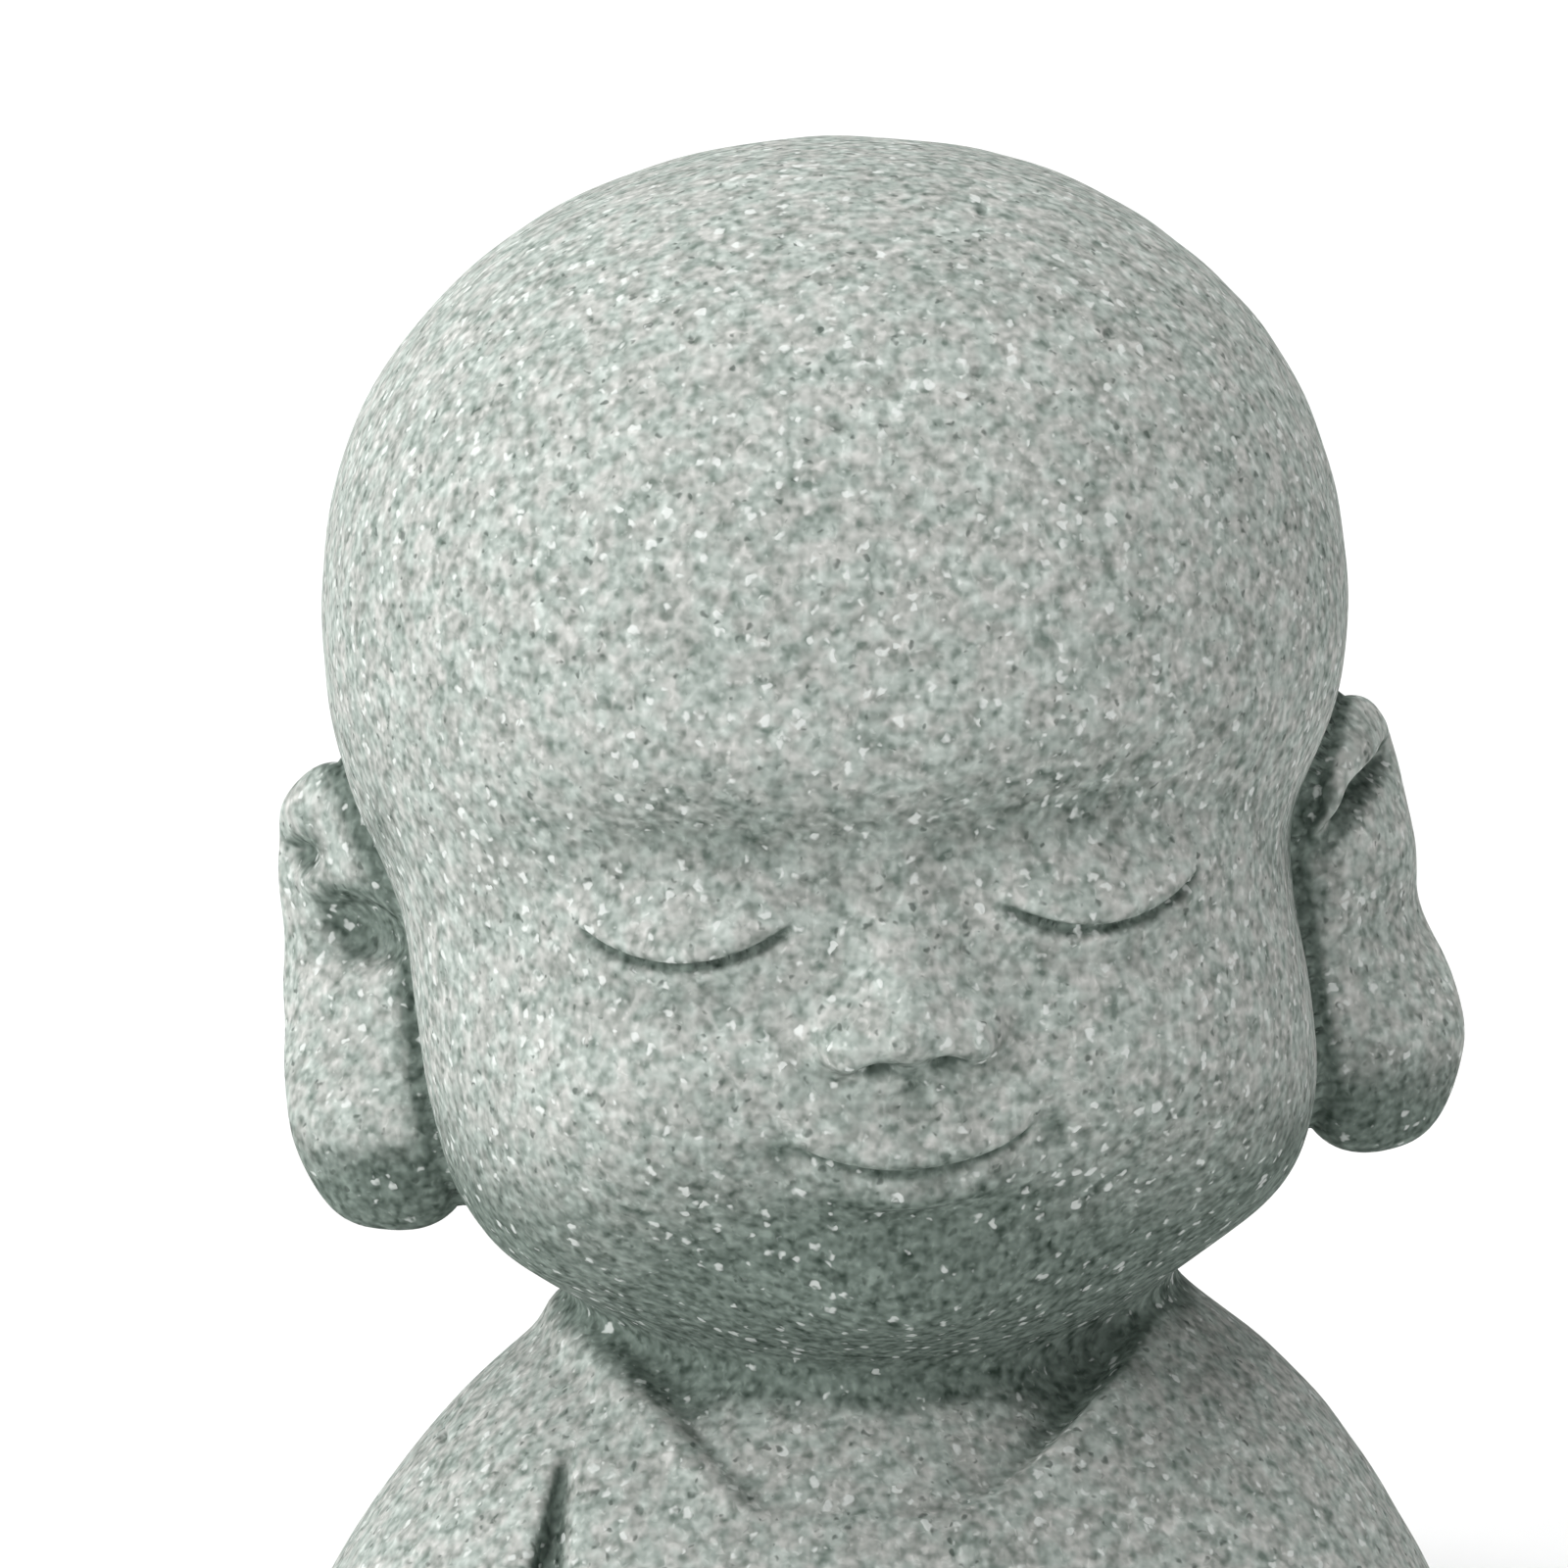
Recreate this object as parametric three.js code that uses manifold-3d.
// A cast resin bust of a bald child monk in a crossed robe, head bowed and leaning to one side.
// It is one solid casting, cut off flat below the shoulders, and it stands on that cut.
// Millimetres, +Z up. The figure faces -Y, and +X is on a viewer's right. The origin is the middle of the
// robe's oval on the flat underside.

import * as THREE from 'three';
import { mergeVertices } from 'three/addons/utils/BufferGeometryUtils.js';
import Module from 'manifold-3d';

const wasm = await Module();
wasm.setup();

const { sqrt, abs, exp, log, sin, cos, PI, sign, min, max } = Math;
const radians = THREE.MathUtils.degToRad;
const mix = THREE.MathUtils.lerp;
const ramp = (from, to, x) => THREE.MathUtils.smoothstep(x, from, to);

// Head, in its own frame: the origin is the skull's centre, -Y the face and +Z the crown.
// The skull is a superellipsoid, and the jaw and cheeks an ellipsoid below and in front of its centre.
const SKULL = { halfWidth: 31.2, halfDepth: 32.5, halfHeight: 28.5, squareness: 2.15 };
const JAW = { halfWidth: 27.5, halfDepth: 26, halfHeight: 26.5, forward: 4.5, drop: 19.5 };
const SKULL_TO_JAW_BLEND = 1.5;
const HEAD = { at: [-2.6, -2.5, 64.8], bow: 7, lean: -5, turn: 4 };

// The face, on a drawing book's divisions of a child's head from crown to chin.
const CROWN_Z = SKULL.halfHeight;
const CHIN_Z = -40;
const faceLine = (share) => CROWN_Z + (CHIN_Z - CROWN_Z) * share;
const BROW_Z = faceLine(0.5);
const EYE_Z = faceLine(0.585);
const NOSE_Z = faceLine(0.7);
const MOUTH_Z = faceLine(0.79);
const EYE_X = 12;

// Each form of the face is a smooth swelling or hollow: its centre as seen from the front, its radii across
// and down, and its rise. A form with an x is on both sides.
const FACE_FORMS = {
  browRidge: { x: 10, z: BROW_Z + 3.5, across: 12, down: 5, rise: 0.8 },
  eyeHollow: { x: EYE_X - 1.5, z: BROW_Z - 2.8, across: 8.5, down: 3.4, rise: -1.9 },
  betweenEyes: { x: 0, z: EYE_Z + 2, across: 5, down: 4, rise: -1.1 },
  eyelid: { x: EYE_X, z: EYE_Z, across: 6.2, down: 2.9, rise: 1.7 },
  noseBridge: { x: 0, z: NOSE_Z + 6.5, across: 2.6, down: 4, rise: 1.5 },
  noseTip: { x: 0, z: NOSE_Z + 2.2, across: 2.9, down: 2.7, rise: 3.9 },
  nostrilWing: { x: 3.6, z: NOSE_Z + 1.2, across: 1.9, down: 1.7, rise: 2.1 },
  cheek: { x: 15, z: MOUTH_Z + 3.5, across: 8.5, down: 7.5, rise: 2.4 },
  mouthMound: { x: 0, z: MOUTH_Z + 0.5, across: 8, down: 5, rise: 1.6 },
  upperLip: { x: 0, z: MOUTH_Z + 1.4, across: 5, down: 1.4, rise: 1.2 },
  lowerLip: { x: 0, z: MOUTH_Z - 1.8, across: 4, down: 1.5, rise: 1.2 },
  underLip: { x: 0, z: MOUTH_Z - 4.8, across: 6, down: 1.8, rise: -0.8 },
  chin: { x: 0, z: CHIN_Z + 5.5, across: 8, down: 4.5, rise: 2.8 },
};
const JOWL = { x: 22, z: -31, across: 7, down: 8, rise: 2.2 };

// Thin cuts: the closed eyes' lash lines and the line between the lips. sag is how far the middle hangs.
const LASH_LINE = { below: 2.2, halfWidth: 6, sag: 1.5 };
const LIP_LINE = { below: 0.3, halfWidth: 6.8, sag: 1.5 };
const LINE_CUT = { halfWidth: 0.45, depth: 0.9 };

// Ears with long lobes, in the head's frame. Each is a flat section carried down a line. turn is the angle
// from facing forwards to facing sideways.
const EAR = {
  length: 28.1,
  x: 30.4,
  squareness: 2.8,
  lobeFrom: 0.45,
  lobeFull: 0.8,
  upper: { y: 6, turn: 45, halfWidth: 5.2, halfThickness: 2.4 },
  lobe: { y: -4, turn: 20, halfWidth: 6.6, halfThickness: 4 },
};
const LEFT_EAR = { side: -1, top: -7.2, lobeOut: -0.4 };
const RIGHT_EAR = { side: 1, top: -8.4, lobeOut: 0.5 };

// Forms of an ear's outer face. x runs from -1 at the cheek to 1 at the rim, and z down from 0 to 1.
const EAR_RIM = { x: 0.8, z: 0.2, across: 0.3, down: 0.25, rise: 0.8 };
const LEFT_HOLLOWS = [
  { x: 0.35, z: 0.2, across: 0.35, down: 0.05, rise: -1.4 },
  { x: 0.1, z: 0.36, across: 0.4, down: 0.08, rise: -2 },
];
const RIGHT_GROOVE = { x: -0.45, z: 0.36, across: 0.25, down: 0.16, rise: -2.2 };
// The right ear's groove bows away from the cheek above and below this height.
const GROOVE_BOW = { z: 0.38, amount: 3 };

// Robe: an egg-shaped body whose widest level lies below the cut, open in a V over the chest.
const ROBE = { halfWidth: 42.6, halfDepth: 32, halfHeight: 60.8, centreZ: -32.3, squareness: 2.06 };
const SLEEVE_SWELL = { x: 27, z: 0, across: 9, down: 12, rise: 1.2 };
const NECK = { halfWidth: 17, halfDepth: 16, centre: [-0.8, 0.5], bottom: 4, top: 38 };
const COLLAR_GAP = 1.2;
const COLLAR_FLOOR = 18;
const CHEST = { halfWidth: 24, halfDepth: 23, halfHeight: 19, centre: [0, -3, 0] };
const OPENING = { left: [-19, 23.5], foot: [-4, 11.2], right: [18.6, 26], rightBend: [8.5, 13] };
const SLEEVE_FOLD = { top: [-18.8, 14.4], bottom: [-22.8, -11], halfWidth: 1, depth: 2 };

// How far the shoulders shift to the viewer's right for each millimetre of height.
const SHOULDER_SHIFT = 0.045;

// A smooth bump or hollow that fades out in every direction from its centre.
function bell(x, z, form) {
  return form.rise * exp(-(((x - form.x) / form.across) ** 2) - ((z - form.z) / form.down) ** 2);
}

// The larger of a and b, with the corner between them rounded over a width of k.
const softMax = (a, b, k) => k * log(exp(a / k) + exp(b / k));

// Distance from a superellipsoid's centre to its surface, in a unit direction.
function reach(d, { halfWidth, halfDepth, halfHeight, squareness: n }) {
  return (abs(d.x / halfWidth) ** n + abs(d.y / halfDepth) ** n + abs(d.z / halfHeight) ** n) ** (-1 / n);
}

// Distance from the skull's centre to the far side of the jaw's ellipsoid, which holds that centre.
function jawReach(d) {
  const size = new THREE.Vector3(JAW.halfWidth, JAW.halfDepth, JAW.halfHeight);
  const c = new THREE.Vector3(0, -JAW.forward, -JAW.drop).divide(size);
  const e = d.clone().divide(size);
  const a = e.dot(e);
  const b = e.dot(c);
  return (b + sqrt(b * b - a * (c.dot(c) - 1))) / a;
}

// A point of the head's surface in a unit direction from the skull's centre.
function headPoint(d) {
  const r = softMax(reach(d, SKULL), jawReach(d), SKULL_TO_JAW_BLEND);
  const [x, z] = [abs(d.x * r), d.z * r];
  const jowl = ramp(-0.6, 0, -d.y) * bell(x, z, JOWL);
  const face = Object.values(FACE_FORMS).reduce((sum, form) => sum + bell(x, z, form), 0);
  return d.clone().multiplyScalar(r + jowl + ramp(0.15, 0.5, -d.y) * face);
}

// Longitude 0 is the back of the head and PI the face; latitude 0 is the crown.
function headDirection(longitude, latitude) {
  const across = sin(latitude);
  return new THREE.Vector3(-sin(longitude) * across, cos(longitude) * across, cos(latitude));
}

// The point of the face that is seen from the front at x and z, found by stepping towards it.
function onFace(x, z) {
  const steps = 8;
  let p = new THREE.Vector3(x, -SKULL.halfDepth, z);
  for (let i = 0; i < steps; i++) {
    const r = headPoint(p.clone().normalize()).length();
    p = new THREE.Vector3(x, -sqrt(max(1, r * r - x * x - z * z)), z);
  }
  return p;
}

// A point of an ear's surface: around turns about its section, from the rim, and share runs down it.
function earPoint(ear, around, share) {
  const down = (1 - cos(PI * share)) / 2;
  const n = EAR.squareness;
  const swell = max(0, 1 - abs(cos(PI * share)) ** n) ** (1 / n);
  const lobe = ramp(EAR.lobeFrom, EAR.lobeFull, down);
  const at = (key) => mix(EAR.upper[key], EAR.lobe[key], lobe);
  const turn = radians(at('turn'));
  const across = new THREE.Vector3(ear.side * cos(turn), sin(turn), 0);
  const outwards = new THREE.Vector3(ear.side * sin(turn), -cos(turn), 0);
  const flatten = 0.85;
  const q = sign(cos(around)) * abs(cos(around)) ** flatten;
  const t = sign(sin(around)) * abs(sin(around)) ** flatten;
  const carving = ramp(0, 0.6, t) * earRelief(ear, q, down);
  return new THREE.Vector3(ear.side * (EAR.x + ear.lobeOut * lobe), at('y'), ear.top - EAR.length * down)
    .addScaledVector(across, at('halfWidth') * swell * q)
    .addScaledVector(outwards, (at('halfThickness') * t + carving) * swell);
}

// How far the rim and hollows raise an ear's outer face.
function earRelief(ear, q, down) {
  const bowed = RIGHT_GROOVE.x + GROOVE_BOW.amount * (down - GROOVE_BOW.z) ** 2;
  const hollows = ear.side < 0 ? LEFT_HOLLOWS : [{ ...RIGHT_GROOVE, x: bowed }];
  return [EAR_RIM, ...hollows].reduce((sum, form) => sum + bell(q, down, form), 0);
}

// A point of the robe in a unit direction from its centre, with the fuller sleeves beside the chest.
function robePoint(d) {
  const front = ramp(0, 0.4, -d.y);
  const r = reach(d, ROBE);
  const sleeves = front * bell(abs(d.x * r), d.z * r + ROBE.centreZ, SLEEVE_SWELL);
  const p = d.clone().multiplyScalar(r + sleeves);
  const z = p.z + ROBE.centreZ;
  return new THREE.Vector3(p.x + SHOULDER_SHIFT * z, p.y, z);
}

// The point of the robe that is seen from the front at x and z.
function onRobe(x, z) {
  const n = ROBE.squareness;
  const across = abs((x - SHOULDER_SHIFT * z) / ROBE.halfWidth) ** n;
  const up = abs((z - ROBE.centreZ) / ROBE.halfHeight) ** n;
  return new THREE.Vector3(x, -ROBE.halfDepth * max(0, 1 - across - up) ** (1 / n), z);
}

// A ball whose vertices a function places from two shares of 0 to 1, around and down.
function shapedBall(around, down, place) {
  const g = new THREE.SphereGeometry(1, around, down);
  const uv = g.getAttribute('uv');
  const pos = g.getAttribute('position');
  for (let i = 0; i < pos.count; i++) {
    const v = 1 - uv.getY(i);
    const atPole = v < 1e-6 || v > 1 - 1e-6;
    pos.setXYZ(i, ...place(atPole ? 0 : uv.getX(i) % 1, v));
  }
  return g;
}

// A closed mesh as a solid that can be joined and cut.
function solid(g) {
  g.deleteAttribute('normal');
  g.deleteAttribute('uv');
  const m = mergeVertices(g, 1e-4);
  return new wasm.Manifold(
    new wasm.Mesh({
      numProp: 3,
      vertProperties: new Float32Array(m.getAttribute('position').array),
      triVerts: new Uint32Array(m.index.array),
    }),
  );
}

// The head's grid is closest over the face: longitude and latitude are stretched there.
function headSolid() {
  const closestAt = 0.6;
  const longitudeAt = (u) => 2 * PI * u + 0.55 * sin(2 * PI * u);
  const latitudeAt = (v) => PI * (v - 0.1 * (sin(2 * PI * (v - closestAt)) + sin(2 * PI * closestAt)));
  return solid(shapedBall(68, 42, (u, v) => headPoint(headDirection(longitudeAt(u), latitudeAt(v)))));
}

// The section runs against the side's sign, so that both ears' faces point outwards.
function earSolid(ear) {
  return solid(shapedBall(20, 22, (u, v) => earPoint(ear, -ear.side * 2 * PI * u, v)));
}

// A sunken line: a lens-shaped blade that follows path from -1 to 1 and bites into the surface there.
function blade(path, inwards, { halfWidth, depth }) {
  const step = 0.01;
  const g = shapedBall(8, 18, (u, v) => {
    const along = -cos(PI * v);
    const swell = sin(PI * v);
    const centre = path(along);
    const tangent = path(min(1, along + step)).sub(path(max(-1, along - step)));
    const side = tangent.cross(inwards(centre)).normalize();
    return centre
      .addScaledVector(side, halfWidth * swell * cos(2 * PI * u))
      .addScaledVector(inwards(centre), depth * swell * sin(2 * PI * u));
  });
  return solid(g);
}

// The closed eyes' lash lines and the line between the lips.
function faceLines() {
  const inwards = (p) => p.clone().normalize().negate();
  const curve = (x, z, line) => (t) => onFace(x + line.halfWidth * t, z - line.below + line.sag * t * t);
  const lashes = [-1, 1].map((side) => blade(curve(side * EYE_X, EYE_Z, LASH_LINE), inwards, LINE_CUT));
  const lips = blade(curve(0, MOUTH_Z, LIP_LINE), inwards, LINE_CUT);
  return lips.add(lashes[0]).add(lashes[1]);
}

function headWithEars() {
  const pose = new THREE.Matrix4()
    .makeTranslation(...HEAD.at)
    .multiply(new THREE.Matrix4().makeRotationY(radians(HEAD.lean)))
    .multiply(new THREE.Matrix4().makeRotationZ(radians(HEAD.turn)))
    .multiply(new THREE.Matrix4().makeRotationX(radians(HEAD.bow)));
  const ears = earSolid(LEFT_EAR).add(earSolid(RIGHT_EAR));
  return headSolid().add(ears).subtract(faceLines()).transform(pose.toArray());
}

// An upright cylinder of oval section about the neck's axis.
function neckOval(margin, bottom, top) {
  const height = top - bottom;
  const g = new THREE.CylinderGeometry(1, 1, height, 48).rotateX(PI / 2);
  g.scale(NECK.halfWidth + margin, NECK.halfDepth + margin, 1);
  return solid(g.translate(...NECK.centre, bottom + height / 2));
}

// What the robe leaves open: the V over the chest, and a gap all round the neck.
function neckOpening() {
  const { left, foot, right, rightBend } = OPENING;
  const outline = new THREE.Shape();
  outline.moveTo(left[0], ROBE.halfHeight);
  outline.lineTo(...left);
  outline.lineTo(...foot);
  outline.quadraticCurveTo(...rightBend, ...right);
  outline.lineTo(right[0], ROBE.halfHeight);
  const settings = { depth: ROBE.halfDepth, bevelEnabled: false, curveSegments: 10 };
  const v = new THREE.ExtrudeGeometry(outline, settings).rotateX(PI / 2);
  return solid(v).add(neckOval(COLLAR_GAP, COLLAR_FLOOR, ROBE.halfHeight));
}

function chestSolid() {
  const g = new THREE.SphereGeometry(1, 40, 20).rotateX(PI / 2);
  return solid(g.scale(CHEST.halfWidth, CHEST.halfDepth, CHEST.halfHeight).translate(...CHEST.centre));
}

// The robe's rows end not far below the cut, and one last row closes it at its lowest point.
function robeSolid() {
  const lowest = 0.62;
  const latitudeAt = (v) => (v < 1 ? PI * lowest * v : PI);
  return solid(shapedBall(54, 15, (u, v) => robePoint(headDirection(2 * PI * u, latitudeAt(v)))));
}

// The crease between the sleeve and the chest. Its lower half lies below the cut, so it is widest there.
function sleeveFold() {
  const { top, bottom } = SLEEVE_FOLD;
  const inwards = () => new THREE.Vector3(0.25, 0.97, 0);
  const path = (t) => onRobe(mix(top[0], bottom[0], (t + 1) / 2), mix(top[1], bottom[1], (t + 1) / 2));
  return blade(path, inwards, SLEEVE_FOLD);
}

// Everything below the flat cut that the bust stands on.
function belowTheCut() {
  const size = 4 * ROBE.halfHeight;
  return solid(new THREE.BoxGeometry(size, size, size).translate(0, 0, -size / 2));
}

const bust = robeSolid()
  .subtract(neckOpening())
  .subtract(sleeveFold())
  .add(chestSolid())
  .add(neckOval(0, NECK.bottom, NECK.top))
  .add(headWithEars())
  .subtract(belowTheCut());

const { vertProperties, triVerts } = bust.getMesh();
const geometry = new THREE.BufferGeometry()
  .setAttribute('position', new THREE.BufferAttribute(new Float32Array(vertProperties), 3))
  .setIndex(new THREE.BufferAttribute(new Uint32Array(triVerts), 1));
const stoneResin = new THREE.MeshStandardMaterial({ color: 0x9ba39e, roughness: 0.9, metalness: 0 });
const mesh = new THREE.Mesh(geometry, stoneResin);
mesh.name = 'bust';

const group = new THREE.Group();
group.add(mesh);
export default group;
